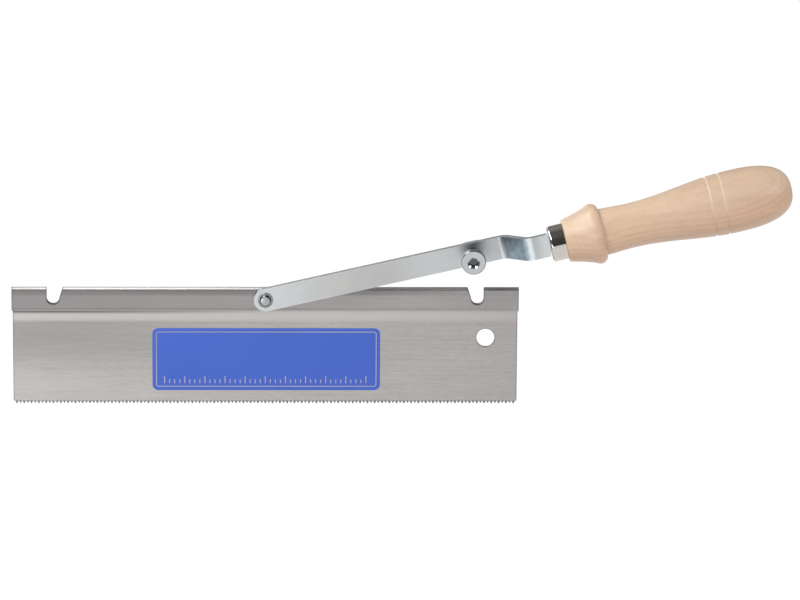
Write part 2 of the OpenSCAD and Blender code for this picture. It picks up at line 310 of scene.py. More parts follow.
def notch_cutter(side):
    """The shape of the notch on the left, -1, or on the right, 1."""
    deselect_all()
    middle = (side * CLAMP_R, 0, PIVOT_Z)
    bpy.ops.mesh.primitive_cylinder_add(vertices=NOTCH_STEPS, radius=NOTCH_R, depth=CUT_DEPTH)
    cutter = bpy.context.object
    place(cutter, at(middle))
    edit(cutter)
    bpy.ops.mesh.select_all(action="SELECT")
    bpy.ops.mesh.bisect(
        plane_co=middle,
        plane_no=(0, 0, 1),
        use_fill=True,
        clear_outer=True,
        threshold=NEAR,
    )
    pick("FACE", lambda co: near(co.z, PIVOT_Z))
    rise = BACK_HIGH.z + MM - PIVOT_Z
    extrude((0, 0, rise))
    pick("VERT", lambda co: co.z > PIVOT_Z + rise / 2 and abs(co.x) < CLAMP_R)
    shift((-side * NOTCH_FLARE * rise / (BACK_HIGH.z - PIVOT_Z), 0, 0))
    deselect_all()
    return cutter


print(f"notch {2 * NOTCH_R / MM:.1f} mm wide, {NOTCH_FLARE / MM:.1f} mm wider at its mouth")

# %% Make the cutter for a round hole
LIP = 0.12 * MM


def hole_cutter(radius, y_front, y_rear, location):
    """A round cutter along Y that flares where it leaves the two faces of a sheet."""
    wide = radius + 2 * LIP
    profile = [
        (0, -y_rear - CUT_DEPTH),
        (wide, -y_rear - CUT_DEPTH),
        (wide, -y_rear - LIP),
        (radius, -y_rear + LIP),
        (radius, -y_front - LIP),
        (wide, -y_front + LIP),
        (wide, -y_front + CUT_DEPTH),
        (0, -y_front + CUT_DEPTH),
    ]
    cutter = turned("cutter", profile)
    place(cutter, at(location))
    return cutter


print(f"lips flare by {2 * LIP / MM:.2f} mm")

# %% [markdown]
# ## Blade
# The blade is a strip of spring steel with fourteen teeth to the inch. The teeth are ground to a
# point and set: every other one leans to the front and the rest lean back, which makes the cut
# wider than the sheet. A boolean with a hundred cutters would be slow and untidy, so one tooth is
# drawn instead, an Array repeats it, and the sheet is drawn up from the row. Solidify then gives it
# thickness, and the tips are leaned over.

# %% Draw the row of teeth
TEETH_PER_INCH = 14
INCH = 25.4 * MM
TOOTH_PITCH = INCH / TEETH_PER_INCH
TOOTH_COUNT = int((BLADE_HIGH.x - BLADE_LOW.x) / TOOTH_PITCH)
TEETH_HALF = TOOTH_COUNT * TOOTH_PITCH / 2
TOOTH_DEPTH = 1.6 * MM


def tooth_row():
    """One triangle, repeated along the tooth line."""
    row = flat_sheet("saw_blade", (-TEETH_HALF, 0), (-TEETH_HALF + TOOTH_PITCH, TOOTH_DEPTH), 0)
    edit(row)
    pick("VERT", lambda co: near(co.z, 0))
    bpy.ops.mesh.merge(type="CENTER")
    modify(
        row,
        "ARRAY",
        count=TOOTH_COUNT,
        use_relative_offset=False,
        use_constant_offset=True,
        constant_offset_displace=(TOOTH_PITCH, 0, 0),
        use_merge_vertices=True,
        merge_threshold=NEAR,
    )
    return row


print(f"{TOOTH_COUNT} teeth, {TOOTH_PITCH / MM:.3f} mm apart")

# %% Draw up the sheet and cut it
TOOTH_SET = 0.15 * MM
TOOTH_GRIND = 0.3 * MM
RIVET_HOLE_R = 2.05 * MM
HANGING = next(mount for mount in record["mounts"] if mount["name"] == "hanging_hole")
HANGING_R = HANGING["dims"]["r_mm"] * MM


def lean_teeth(side):
    """Leans the teeth of one side over, and grinds their tips to a point."""

    def mine(co):
        tooth = int((co.x + TEETH_HALF) / TOOTH_PITCH)
        return near(co.z, 0) and tooth % 2 == (side > 0)

    pick("VERT", mine)
    shift((0, side * TOOTH_SET, 0))
    pick("VERT", lambda co: mine(co) and side * (co.y - side * TOOTH_SET) < 0)
    shift((0, 0, TOOTH_GRIND))


def saw_blade():
    """The blade with its teeth, hanging hole, notches and rivet hole."""
    blade = tooth_row()
    edit(blade)
    pick("EDGE", lambda co: near(co.z, TOOTH_DEPTH))
    extrude((0, 0, BLADE_HIGH.z - TOOTH_DEPTH))
    for side in (-1, 1):
        pick("EDGE", lambda co: near(co.x, side * TEETH_HALF) and co.z > TOOTH_DEPTH / 2)
        extrude((side * (BLADE_HIGH.x - TEETH_HALF), 0, 0))
    modify(blade, "SOLIDIFY", thickness=BLADE_HIGH.y - BLADE_LOW.y, offset=0)
    edit(blade)
    for side in (-1, 1):
        lean_teeth(side)
    combine(blade, hole_cutter(HANGING_R, BLADE_LOW.y, BLADE_HIGH.y, HANGING["pos_m"]))
    combine(blade, hole_cutter(RIVET_HOLE_R, BLADE_LOW.y, BLADE_HIGH.y, (0, 0, PIVOT_Z)))
    for side in (-1, 1):
        combine(blade, notch_cutter(side))
    return blade


hand_over(saw_blade(), "blade")

# %% [markdown]
# ## Back
# The back is a steel strip folded over the blade's upper edge, which keeps the thin sheet straight.
# A block with a slot and a rounded top would do from afar. Folding it as on the bench is as short
# and gives the fold its true radius: one upright leg, whose top edge is spun half a turn and then
# drawn down again behind. Solidify gives the sheet its wall, so that the fold hugs the blade.

# %% Model the back
BACK_WALL = 1.2 * MM
BACK_SOFT = 0.22 * MM
FOLD_STEPS = 20
FOLD_Z = BACK_HIGH.z - BACK_HIGH.y


def folded_back():
    """The strip, folded over, with its notches and its rivet hole."""
    half = BACK_HIGH.y
    back = flat_sheet("folded_back", (BACK_LOW.x, BACK_LOW.z), (BACK_HIGH.x, FOLD_Z), -half)
    edit(back)
    pick("EDGE", lambda co: near(co.z, FOLD_Z))
    spin(-math.pi, (0, 0, FOLD_Z), (1, 0, 0), FOLD_STEPS)
    pick("EDGE", lambda co: near(co.z, FOLD_Z) and co.y > 0)
    extrude((0, 0, BACK_LOW.z - FOLD_Z))
    modify(back, "SOLIDIFY", thickness=BACK_WALL, offset=-1)
    combine(back, hole_cutter(RIVET_HOLE_R, -half, half, (0, 0, PIVOT_Z)))
    for side in (-1, 1):
        combine(back, notch_cutter(side))
    soften(back, BACK_SOFT)
    return back


hand_over(folded_back(), "back")

# %% [markdown]
# ## Rivet and its washers
# The arm swivels on a solid rivet. Its front head is pressed: a bright flat in the middle and a
# rounded slope round it. A thin washer lies under the head and another one, which nobody sees,
# between the arm and the back. Cylinders with bevelled edges could stand in for them, but all three
# are turned shapes, so each is a profile on the lathe, where every radius can be read off. Heights
# are counted towards the viewer.

# %% Turn rings
ARC_STEPS = 6
WASHER_SOFT = 0.12 * MM


def arc(centre_r, centre_h, radius, start, end, steps=ARC_STEPS):
    """Points (radius, height) round an arc, with angles in degrees from the radius towards the height."""
    angles = [math.radians(start + (end - start) * i / steps) for i in range(steps + 1)]
    return [(centre_r + radius * math.cos(a), centre_h + radius * math.sin(a)) for a in angles]


def ring(name, node, hole_r):
    """A flat ring as wide and thick as its node, with its four edges rounded."""
    low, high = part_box(node)
    outer = (high.x - low.x) / 2
    thick = high.y - low.y
    soft = WASHER_SOFT
    profile = (
        arc(outer - soft, soft, soft, -90, 0)
        + arc(outer - soft, thick - soft, soft, 0, 90)
        + arc(hole_r + soft, thick - soft, soft, 90, 180)
        + arc(hole_r + soft, soft, soft, 180, 270)
    )
    piece = turned(name, profile + profile[:1])
    place(piece, at(((low.x + high.x) / 2, high.y, (low.z + high.z) / 2)))
    return piece


print(f"washers have edges of {WASHER_SOFT / MM:.2f} mm, in arcs of {ARC_STEPS} steps")

# %% Model the rivet and the washers
RIVET_SHANK_R = 2.0 * MM
RIVET_FLAT_R = 1.95 * MM
RIVET_HEAD_R = 2.9 * MM
RIVET_HEAD_H = 1.3 * MM


def swivel_rivet():
    """The rivet, from its rear head to the flat on its front head."""
    low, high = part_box("pivot_rivet")
    tail_r = (high.x - low.x) / 2
    seat = high.y - BACK_HIGH.y
    front = high.y - low.y
    slope = RIVET_HEAD_R - RIVET_FLAT_R
    angles = [math.radians(degrees) for degrees in range(0, 91, 10)]
    tail = [(tail_r * math.sin(a), seat * (1 - math.cos(a))) for a in angles]
    head = arc(RIVET_FLAT_R, front - slope, slope, 0, 90)
    under_head = front - RIVET_HEAD_H
    profile = tail + [(RIVET_SHANK_R, seat), (RIVET_SHANK_R, under_head), (RIVET_HEAD_R, under_head)]
    profile += head + [(0, front)]
    piece = turned("swivel_rivet", profile)
    place(piece, at((0, high.y, PIVOT_Z)))
    return piece


hand_over(swivel_rivet(), "pivot_rivet")
hand_over(ring("thrust_washer", "pivot_washer", RIVET_HOLE_R), "pivot_washer")
hand_over(ring("head_ring", "rivet_washer", RIVET_HOLE_R), "rivet_washer")

# %% [markdown]
# ## Cranked arm
# The arm is one flat bar, bent twice so that the hand clears the work, and drawn down to a tang
# that sits in the handle. A Simple Deform modifier could bend a straight bar, but then the radius
# of the bend follows from the bar's length. So the arm is modelled lying along X with the swivel
# axis at the origin: a strip for its front face whose end is rounded by bevelling two corners, two
# bends made by spinning its last edge, and Solidify for the thickness. Only then is it tilted into
# place.

# %% Lay out the bends
ARM_W = 11.4 * MM
ARM_T = 3.0 * MM
ARM_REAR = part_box("arm")[1].y
ARM_FRONT = ARM_REAR - ARM_T
CRANK_AT = CLAMP_R + 16.5 * MM
CRANK_ANGLE = math.radians(54)
CRANK_OFFSET = 15.5 * MM
LEAN = math.radians(3)
BEND_R = 4.0 * MM
BEND_OUTER_R = BEND_R + ARM_T
BEND_SET = (BEND_R + ARM_T / 2) * math.tan(CRANK_ANGLE / 2)
FIRST_BEND = Vector((CRANK_AT - BEND_SET, ARM_FRONT - BEND_R))
SECOND_BEND_X = CRANK_AT + CRANK_OFFSET / math.tan(CRANK_ANGLE) + BEND_SET
SECOND_BEND = Vector((SECOND_BEND_X, ARM_REAR - CRANK_OFFSET + BEND_R))
NECK_LEN = 10.1 * MM
NECK_RUN = NECK_LEN - BEND_SET
print(f"bends at {FIRST_BEND.x / MM:.1f} and {SECOND_BEND.x / MM:.1f} mm along the arm")

# %% Bend the bar
ARM_SOFT = 0.3 * MM
END_STEPS = 16
BEND_STEPS = 18
TANG_W = 7.0 * MM
TANG_TIP_W = 4.0 * MM
TANG_LEN = 60 * MM
SHOULDER = 0.4 * MM
SCREW_HOLE_R = 3.2 * MM
ARM_FRAME = Matrix.Translation((0, 0, PIVOT_Z)) @ Matrix.Rotation(-TILT, 4, "Y")


def bend_end(x, centre, angle):
    """Spins the strip's last edge, at x, about an upright line through the centre of a bend."""
    pick("EDGE", lambda co: near(co.x, x))
    spin(angle, (centre.x, centre.y, 0), (0, 0, 1), BEND_STEPS)


def draw_end(start, end, share=1.0):
    """Draws the strip's last edge on from one point (x, y) to another, to a share of its width."""
    pick("EDGE", lambda co: near(co.x, start.x))
    extrude((end.x - start.x, end.y - start.y, 0))
    bpy.ops.transform.resize(value=(1, 1, share), center_override=(end.x, end.y, 0))


def cranked_arm():
    """The bar with its round end, its crank, its leaning neck, its tang and its two holes."""
    out = Vector((math.sin(CRANK_ANGLE), math.cos(CRANK_ANGLE)))
    along = Vector((math.cos(LEAN), math.sin(LEAN)))
    neck = SECOND_BEND + BEND_OUTER_R * Vector((math.sin(LEAN), -math.cos(LEAN)))
    shoulder = neck + along * (NECK_RUN - SHOULDER)
    root = neck + along * NECK_RUN
    arm = flat_sheet("cranked_arm", (-ARM_W / 2, -ARM_W / 2), (FIRST_BEND.x, ARM_W / 2), ARM_FRONT)
    edit(arm)
    bend_end(FIRST_BEND.x, FIRST_BEND, -CRANK_ANGLE)
    draw_end(FIRST_BEND + BEND_R * out, SECOND_BEND - BEND_OUTER_R * out)
    bend_end((SECOND_BEND - BEND_OUTER_R * out).x, SECOND_BEND, CRANK_ANGLE + LEAN)
    draw_end(neck, shoulder)
    draw_end(shoulder, root, TANG_W / ARM_W)
    draw_end(root, root + along * TANG_LEN, TANG_TIP_W / TANG_W)
    pick("VERT", lambda co: near(co.x, -ARM_W / 2))
    bpy.ops.mesh.bevel(affect="VERTICES", offset=ARM_W / 2, segments=END_STEPS)
    bpy.ops.mesh.select_all(action="SELECT")
    bpy.ops.mesh.remove_doubles(threshold=NEAR)
    modify(arm, "SOLIDIFY", thickness=ARM_T, offset=-1)
    combine(arm, hole_cutter(RIVET_HOLE_R, ARM_FRONT, ARM_REAR, (0, 0, 0)))
    combine(arm, hole_cutter(SCREW_HOLE_R, ARM_FRONT, ARM_REAR, (CLAMP_R, 0, 0)))
    soften(arm, ARM_SOFT)
    place(arm, ARM_FRAME)
    return arm


hand_over(cranked_arm(), "arm")

# %% [markdown]
# ## Ferrule
# A polished cup closes the front of the handle and keeps the wood from splitting round the tang. It
# is drawn from sheet, so its front edge is round. A cylinder with one bevelled edge would show the
# same outside, but a cup also has an inside, where the handle's spigot sits. The profile runs from
# the middle of the front, round the edge, along the outside and back along the inside, and a slot
# is then cut for the tang.

# %% Model the ferrule
FERRULE_R = 8.9 * MM
FERRULE_LEN = 8.0 * MM
FERRULE_WALL = 0.8 * MM
FERRULE_EDGE = 1.5 * MM
TANG_ROOM = 0.1 * MM
NECK_FRAME = ARM_FRAME @ Matrix.Translation(SECOND_BEND.to_3d()) @ Matrix.Rotation(LEAN, 4, "Z")
HANDLE_FRAME = NECK_FRAME @ Matrix.Translation((NECK_RUN, -BEND_R - ARM_T / 2, 0))
HANDLE_AXIS = HANDLE_FRAME @ Matrix.Rotation(math.pi / 2, 4, "Y")


def tang_cutter(start, end):
    """A block along the handle's axis, as wide and thick as the tang with a little room."""
    deselect_all()
    bpy.ops.mesh.primitive_cube_add(size=1)
    cutter = bpy.context.object
    size = (TANG_W + 2 * TANG_ROOM, ARM_T + 2 * TANG_ROOM, end - start)
    place(cutter, at((0, 0, (start + end) / 2), None, size))
    return cutter


def ferrule_cup():
    """The cup with its round front edge and the slot for the tang."""
    inner_r = FERRULE_R - FERRULE_WALL
    inner_edge = FERRULE_EDGE - FERRULE_WALL
    rim = FERRULE_WALL / 4
    profile = (
        [(0, 0)]
        + arc(FERRULE_R - FERRULE_EDGE, FERRULE_EDGE, FERRULE_EDGE, -90, 0)
        + [(FERRULE_R, FERRULE_LEN - rim), (FERRULE_R - rim, FERRULE_LEN), (inner_r, FERRULE_LEN)]
        + arc(inner_r - inner_edge, FERRULE_EDGE, inner_edge, 0, -90)
        + [(0, FERRULE_WALL)]
    )
    cup = turned("ferrule_cup", profile)
    combine(cup, tang_cutter(-MM, 2 * FERRULE_WALL))
    place(cup, HANDLE_AXIS)
    return cup


hand_over(ferrule_cup(), "ferrule")

# %% [markdown]
# ## Handle
# The handle is turned from one billet of beech: a cone behind the ferrule, a round collar, a waist,
# a belly and a blunt round end, with two fine grooves cut in front of the belly. The line could be
# drawn freehand as a spline, but then no size stands anywhere. So each stretch of it is an arc or
# an eased curve between two diameters, and a few measured sizes make the whole line.

# %% Draw the handle's curves
CURVE_STEPS = 28
GRIP_LEN = 114.2 * MM
BELLY_R = 15.4 * MM
BELLY_AT = 84.5 * MM
END_POWER = 2.7
GROOVE_W = 0.8 * MM
GROOVE_DEPTH = 0.5 * MM
GROOVE_STEPS = 6
CONE_ANGLE = math.radians(12.5)
COLLAR_RISE = math.radians(26.5)


def eased(low_r, low_h, high_r, high_h, steps=CURVE_STEPS):
    """Points that leave one diameter and reach another without a corner at either."""
    points = []
    for i in range(1, steps + 1):
        t = i / steps
        r = low_r + (high_r - low_r) * (1 - math.cos(math.pi * t)) / 2
        points.append((r, low_h + (high_h - low_h) * t))
    return points


def blunt_end():
    """The round end, as a superellipse from the belly to the axis."""
    points = []
    for i in range(1, CURVE_STEPS):
        angle = math.pi / 2 * i / CURVE_STEPS
        r = BELLY_R * math.cos(angle) ** (2 / END_POWER)
        h = BELLY_AT + (GRIP_LEN - BELLY_AT) * math.sin(angle) ** (2 / END_POWER)
        points.append((r, h))
    return points + [(0, GRIP_LEN)]


def with_groove(profile, middle):
    """Takes a line of points down into a groove with a round bottom and back up again."""
    before = [p for p in profile if p[1] < middle - GROOVE_W]
    after = [p for p in profile if p[1] > middle + GROOVE_W]
    (low_r, low_h), (high_r, high_h) = before[-1], after[0]
    middle_r = low_r + (high_r - low_r) * (middle - low_h) / (high_h - low_h)
    slope = (high_r - low_r) / (high_h - low_h)
    dip = []
    for i in range(-GROOVE_STEPS, GROOVE_STEPS + 1):
        step = GROOVE_W * i / GROOVE_STEPS
        depth = GROOVE_DEPTH * (1 + math.cos(math.pi * i / GROOVE_STEPS)) / 2
        dip.append((middle_r + slope * step - depth, middle + step))
    return before + dip + after


def cone(start, end):
    """The hollow curve from the shoulder to the collar, which leaves and arrives at two given angles."""
    leave, arrive = math.tan(CONE_ANGLE), math.tan(COLLAR_RISE)
    bend_h = (end[0] - start[0] + start[1] * leave - end[1] * arrive) / (leave - arrive)
    bend = (start[0] + (bend_h - start[1]) * leave, bend_h)

    def along(t):
        return tuple(
            (1 - t) ** 2 * a + 2 * t * (1 - t) * b + t * t * c for a, b, c in zip(start, bend, end)
        )

    return [along(i / CURVE_STEPS) for i in range(CURVE_STEPS)]


print(f"grip {GRIP_LEN / MM:.1f} mm long, belly {2 * BELLY_R / MM:.1f} mm across")

# %% Turn the handle
SPIGOT_ROOM = 0.05 * MM
SPIGOT_R = FERRULE_R - FERRULE_WALL - SPIGOT_ROOM
SHOULDER_R = 10.6 * MM
SHOULDER_SOFT = 0.5 * MM
COLLAR_R = 15.0 * MM
COLLAR_RIM = 3.7 * MM
COLLAR_AT = 15.2 * MM
COLLAR_STEPS = 24
FOOT_R = 11.5 * MM
WAIST_R = 10.95 * MM
WAIST_AT = 33 * MM
GROOVES_AT = (73.3 * MM, 79.8 * MM)


def handle_profile():
    """The whole line, from the spigot inside the ferrule to the end, with heights behind the ferrule."""
    rim_r = COLLAR_R - COLLAR_RIM
    foot = math.degrees(math.asin((FOOT_R - rim_r) / COLLAR_RIM))
    collar = arc(rim_r, COLLAR_AT, COLLAR_RIM, -math.degrees(COLLAR_RISE), 90 - foot, COLLAR_STEPS)
    nose = FERRULE_WALL - FERRULE_LEN
    bevel = FERRULE_EDGE - FERRULE_WALL
    profile = [(0, nose), (SPIGOT_R - bevel, nose), (SPIGOT_R, nose + bevel), (SPIGOT_R, 0)]
    profile += [(SHOULDER_R - SHOULDER_SOFT, 0)]
    profile += cone((SHOULDER_R, SHOULDER_SOFT), collar[0])
    profile += collar
    profile += eased(*collar[-1], WAIST_R, WAIST_AT)
    profile += eased(WAIST_R, WAIST_AT, BELLY_R, BELLY_AT, 2 * CURVE_STEPS)
    profile += blunt_end()
    for groove in GROOVES_AT:
        profile = with_groove(profile, groove)
    return profile


def beech_handle():
    """The turned handle, bored for the tang."""
    handle = turned("beech_handle", [(r, h + FERRULE_LEN) for r, h in handle_profile()])
    combine(handle, tang_cutter(-MM, TANG_LEN + TANG_ROOM))
    place(handle, HANDLE_AXIS)
    return handle


hand_over(beech_handle(), "handle")

# %% [markdown]
# ## Clamp screw
# A socket screw draws the arm and a tapped plate together across the notch. A row of rings would
# pass for its thread from afar, but rings don't climb, and that shows close by. So the thread is a
# real helix: one pitch of the profile is drawn as a line, the Screw operator winds it up, and two
# bisecting planes trim it to length. The tip is bevelled by keeping only what lies inside a turned
# blank. The head is turned, and a six-sided block cuts the socket.

# %% Wind the thread
SCREW_R = 3.0 * MM
THREAD_DEPTH = 0.55 * MM
THREAD_PITCH = 1.0 * MM
THREAD_STEPS = 40
ROOT_END, CREST_START, CREST_END = 0.2, 0.52, 0.68


def thread(low, high):
    """A length of thread along Z with flat ends. Heights in its profile are shares of the pitch."""
    root = SCREW_R - THREAD_DEPTH
    profile = [(root, 0), (root, ROOT_END), (SCREW_R, CREST_START), (SCREW_R, CREST_END), (root, 1)]
    turns = math.ceil((high - low) / THREAD_PITCH) + 2
    deselect_all()
    bpy.ops.mesh.primitive_plane_add(size=MM)
    piece = bpy.context.object
    bpy.ops.object.mode_set(mode="EDIT")
    bpy.ops.mesh.select_all(action="SELECT")
    bpy.ops.mesh.merge(type="CENTER")
    shift((root, 0, high))
    for (r, h), (next_r, next_h) in zip(profile, profile[1:]):
        step = (next_r - r, 0, (next_h - h) * THREAD_PITCH)
        bpy.ops.mesh.extrude_vertices_move(TRANSFORM_OT_translate={"value": step})
    bpy.ops.mesh.select_all(action="SELECT")
    bpy.ops.mesh.screw(steps=THREAD_STEPS, turns=turns, center=(0, 0, 0), axis=(0, 0, -1))
    bpy.ops.mesh.select_all(action="SELECT")
    bpy.ops.mesh.remove_doubles(threshold=NEAR)
    for height, upper in ((low, False), (high, True)):
        bpy.ops.mesh.select_all(action="SELECT")
        bpy.ops.mesh.bisect(
            plane_co=(0, 0, height),
            plane_no=(0, 0, 1),
            use_fill=True,
            clear_inner=not upper,
            clear_outer=upper,
            threshold=NEAR,
        )
    bpy.ops.mesh.select_all(action="SELECT")
    bpy.ops.mesh.normals_make_consistent(inside=False)
    deselect_all()
    return piece


print(f"thread {2 * SCREW_R / MM:.0f} mm across, a turn every {THREAD_PITCH / MM:.0f} mm")

# %% Join head and thread
SCREW_LOW, SCREW_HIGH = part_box("clamp_screw")
HEAD_R = 6.1 * MM
HEAD_H = 3.4 * MM
HEAD_SOFT = 0.45 * MM
SOCKET_AF = 4.0 * MM
SOCKET_DEPTH = 2.2 * MM
SOCKET_LEAD_R = 3.1 * MM
SOCKET_LEAD = 0.7 * MM
TIP_BEVEL = 0.7 * MM
HEAD_SEAT = -(SCREW_LOW.y + HEAD_H)
TIP = -SCREW_HIGH.y
CLAMP_FRAME = ARM_FRAME @ Matrix.Translation((CLAMP_R, 0, 0))


def screw_head():
    """The head with its round edges and its socket."""
    front = HEAD_SEAT + HEAD_H
    profile = (
        [(0, HEAD_SEAT)]
        + arc(HEAD_R - LIP, HEAD_SEAT + LIP, LIP, -90, 0)
        + arc(HEAD_R - HEAD_SOFT, front - HEAD_SOFT, HEAD_SOFT, 0, 90)
        + [(SOCKET_LEAD_R, front), (SOCKET_AF / 2, front - SOCKET_LEAD), (0, front - SOCKET_LEAD)]
    )
    head = turned("clamp_screw_head", profile)
    deselect_all()
    corner_r = SOCKET_AF / 2 / math.cos(math.pi / 6)
    bpy.ops.mesh.primitive_cylinder_add(vertices=6, radius=corner_r, depth=2 * SOCKET_DEPTH)
    socket = bpy.context.object
    place(socket, at((0, 0, front), None))
    combine(head, socket)
    return head


def clamp_screw():
    """Head and thread as one piece, with a bevelled tip."""
    screw = thread(TIP, HEAD_SEAT + LIP)
    blank = turned(
        "blank",
        [
            (0, TIP),
            (SCREW_R - TIP_BEVEL, TIP),
            (SCREW_R + LIP, TIP + TIP_BEVEL + LIP),
            (SCREW_R + LIP, HEAD_SEAT + HEAD_H),
            (0, HEAD_SEAT + HEAD_H),
        ],
    )
    combine(screw, blank, "INTERSECT")
    combine(screw, screw_head(), "UNION")
    screw.name = "clamp_bolt"
    place(screw, CLAMP_FRAME @ FRONT.to_matrix().to_4x4())
    return screw


hand_over(clamp_screw(), "clamp_screw")

# %% [markdown]
# ## Washer and clamp plate
# A washer turns under the screw's head. Behind the back, a tapped plate with round ends bridges the
# notch and takes the screw's pull. The plate could be put together from a block and two half
# cylinders, but a flat strip with its four corners bevelled until its ends are round has no seams
# to clean up.

# %% Model the washer and the clamp plate
PLATE_LEN = 14.0 * MM
PLATE_W = 8.5 * MM
PLATE_SOFT = 0.35 * MM
PLATE_HOLE_R = 3.05 * MM


def clamp_plate():
    """The plate behind the notch."""
    low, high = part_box("clamp_plate")
    plate = flat_sheet("tapped_plate", (-PLATE_LEN / 2, -PLATE_W / 2), (PLATE_LEN / 2, PLATE_W / 2), low.y)
    edit(plate)
    bpy.ops.mesh.select_all(action="SELECT")
    bpy.ops.mesh.bevel(affect="VERTICES", offset=PLATE_W / 2, segments=END_STEPS)
    bpy.ops.mesh.select_all(action="SELECT")
    bpy.ops.mesh.remove_doubles(threshold=NEAR)
    modify(plate, "SOLIDIFY", thickness=high.y - low.y, offset=-1)
    combine(plate, hole_cutter(PLATE_HOLE_R, low.y, high.y, (0, 0, 0)))
    soften(plate, PLATE_SOFT)
    place(plate, CLAMP_FRAME)
    return plate


hand_over(ring("captive_washer", "head_washer", SCREW_HOLE_R), "head_washer")
hand_over(clamp_plate(), "clamp_plate")

# %% [markdown]
# ## Shader maths
# A finish is a small sum: base colour plus streaks plus wear. Nodes could be added and linked one
# at a time, but then it takes several lines to add two numbers, and the sum is lost among them. Two
# small classes let it be written as one. Value wraps a node's output, and arithmetic on it adds
# Math nodes. Nodes holds a node tree and adds any other node by its type, its settings and what
# goes into its sockets.

# %% Wrap a number


class Value:
    """A number that varies over a surface, which Python's operators can work with."""

    def __init__(self, nodes, socket):
        self.nodes = nodes
        self.socket = socket

    def maths(self, operation, first, second=0.0):
        """The result of one Math node."""
        return self.nodes.node("Math", {"operation": operation}, {0: first, 1: second})

    def __add__(self, other):
        return self.maths("ADD", self, other)

    def __sub__(self, other):
        return self.maths("SUBTRACT", self, other)

    def __rsub__(self, other):
        return self.maths("SUBTRACT", other, self)

    def __mul__(self, other):
        return self.maths("MULTIPLY", self, other)

    def __truediv__(self, other):
        return self.maths("DIVIDE", self, other)

    def __mod__(self, other):
        return self.maths("FLOORED_MODULO", self, other)

    def __pow__(self, other):
        return self.maths("POWER", self, other)

    def __lt__(self, other):
        return self.maths("LESS_THAN", self, other)

    def __gt__(self, other):
        return self.maths("GREATER_THAN", self, other)

    def __abs__(self):
        return self.maths("ABSOLUTE", self)

    __radd__ = __add__
    __rmul__ = __mul__

    def least(self, other):
        """The smaller of two numbers."""
        return self.maths("MINIMUM", self, other)

    def most(self, other):
        """The larger of two numbers."""
        return self.maths("MAXIMUM", self, other)


print("numbers can be worked with")

# %% Wrap a node tree


class Nodes:
    """A node tree that is filled a node at a time."""

    def __init__(self, tree):
        self.tree = tree

    def feed(self, socket, value):
        """Links a Value to a socket, or sets a plain number or colour on it."""
        if isinstance(value, Value):
            self.tree.links.new(value.socket, socket)
        else:
            socket.default_value = value

    def node(self, kind, settings=None, sockets=None, output=0):
        """Adds a node, sets it up and returns one of its outputs."""
        made = self.tree.nodes.new("ShaderNode" + kind)
        for name, value in (settings or {}).items():
            setattr(made, name, value)
        for name, value in (sockets or {}).items():
            self.feed(made.inputs[name], value)
        return Value(self, made.outputs[output])

    def place(self):
        """The point on the piece, in metres."""
        return self.node("TexCoord", output="Object")

    def parts(self, vector):
        """The three numbers of a vector."""
        first = self.node("SeparateXYZ", None, {0: vector})
        return [Value(self, socket) for socket in first.socket.node.outputs]

    def moved(self, vector, spot):
        """The same point, seen from the place that a matrix describes."""
        sockets = {"Vector": vector, "Location": spot.to_translation(), "Rotation": spot.to_euler()}
        return self.node("Mapping", {"vector_type": "TEXTURE"}, sockets)

    def noise(self, vector, scale, detail=3.0, rough=0.55):
        """Soft noise from 0 to 1, with so many waves to the metre along each axis."""
        stretched = self.node("Mapping", None, {"Vector": vector, "Scale": scale})
        sockets = {"Vector": stretched, "Scale": 1.0, "Detail": detail, "Roughness": rough}
        return self.node("TexNoise", None, sockets)

    def step(self, value, low, high, start=0.0, end=1.0):
        """Goes softly from a start to an end as the value goes from low to high."""
        settings = {"interpolation_type": "SMOOTHSTEP"}
        return self.node("MapRange", settings, {0: value, 1: low, 2: high, 3: start, 4: end})

    def mix(self, share, first, second):
        """One colour, then another, by a share from 0 to 1."""
        return self.node("Mix", {"data_type": "RGBA"}, {0: share, 6: first, 7: second}, 2)

    def bump(self, height, distance, strength=1.0):
        """A normal that follows a height given as a share of a distance."""
        return self.node("Bump", None, {"Strength": strength, "Distance": distance, "Height": height})


print("node trees can be filled")

# %% Start and paint a finish
FINISHES = {}


def finish(slot, **constants):
    """A new material for a slot of the record, and its nodes. Constants go straight onto the shader."""
    material = bpy.data.materials.new(slot)
    material.use_nodes = True
    nodes = Nodes(material.node_tree)
    nodes.slot = slot
    nodes.shader = material.node_tree.nodes["Principled BSDF"]
    for name, value in constants.items():
        nodes.shader.inputs[name.replace("_", " ").title()].default_value = value
    FINISHES[slot] = material
    return nodes


def paint(nodes, **sockets):
    """Links what varies over the surface to the shader, and says how many nodes that took."""
    for name, value in sockets.items():
        nodes.feed(nodes.shader.inputs[name.replace("_", " ").title()], value)
    print(f"{nodes.slot}: {len(nodes.tree.nodes)} nodes")


def colour(r, g, b):
    """A colour given as the eye sees it, from 0 to 255, as the linear one that the shader needs."""
    shares = [c / 255 for c in (r, g, b)]
    return (*[s / 12.92 if s <= 0.04045 else ((s + 0.055) / 1.055) ** 2.4 for s in shares], 1.0)


print("slots to finish:", sorted(set(SLOT_OF.values())))
